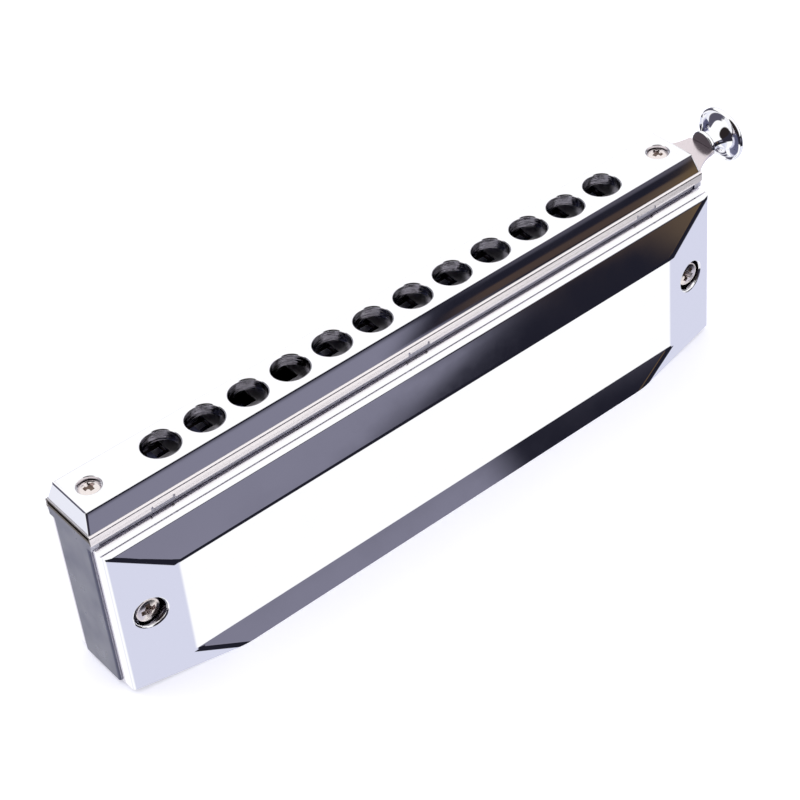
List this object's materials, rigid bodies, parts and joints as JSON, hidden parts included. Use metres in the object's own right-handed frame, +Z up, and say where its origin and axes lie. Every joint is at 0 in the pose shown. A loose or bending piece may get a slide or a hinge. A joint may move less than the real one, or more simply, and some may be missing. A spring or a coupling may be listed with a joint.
{
  "type": "chromatic harmonica",
  "caption": "Chromatic harmonica with round blow holes, chromed cover plates, a spring-loaded slide and a trumpet-shaped slide button.",
  "frame": {"origin": "The middle of the flat top of the mouthpiece.", "axes": "+X runs along the body towards the slide button, +Y through its thickness from the front cover to the rear cover, +Z up to the flat face of the mouthpiece."},
  "size_m": [0.1589, 0.0268, 0.0437],
  "materials": {
    "chrome": "polished chrome plate",
    "nickel_plate": "satin nickel plate",
    "screw_steel": "nickel-plated steel",
    "spring_steel": "drawn spring wire",
    "black_abs": "moulded black plastic",
    "plate_brass": "nickel-plated brass sheet",
    "reed_brass": "filed reed brass",
    "insert_brass": "turned brass",
    "valve_film": "thin plastic film",
    "bumper_rubber": "soft silicone sleeve"
  },
  "bodies": {
    "body": {"mouthpiece": "chrome", "mouthpiece_screws": "screw_steel", "slide_cage": "nickel_plate", "slide_back_plate": "nickel_plate", "slide_bumpers": "bumper_rubber", "slide_spring": "spring_steel", "comb": "black_abs", "threaded_inserts": "insert_brass", "front_reed_plate": "plate_brass", "rear_reed_plate": "plate_brass", "front_blow_reeds": "reed_brass", "front_draw_reeds": "reed_brass", "rear_blow_reeds": "reed_brass", "rear_draw_reeds": "reed_brass", "front_reed_rivets": "insert_brass", "rear_reed_rivets": "insert_brass", "front_outer_valves": "valve_film", "front_inner_valves": "valve_film", "rear_outer_valves": "valve_film", "rear_inner_valves": "valve_film", "front_plate_screws": "screw_steel", "rear_plate_screws": "screw_steel", "front_cover": "chrome", "rear_cover": "chrome", "cover_screws": "screw_steel", "cover_nuts": "screw_steel"},
    "slide": {"slide": "nickel_plate", "slide_button": "chrome"}
  },
  "joints": [
    {"name": "slide_press", "type": "slide", "parent": "body", "child": "slide", "axis": [-1, 0, 0], "range_m": [0, 0.00475], "stiffness_N_per_m": 300, "springref_m": -0.005, "deforming": ["slide_spring"]}
  ]
}
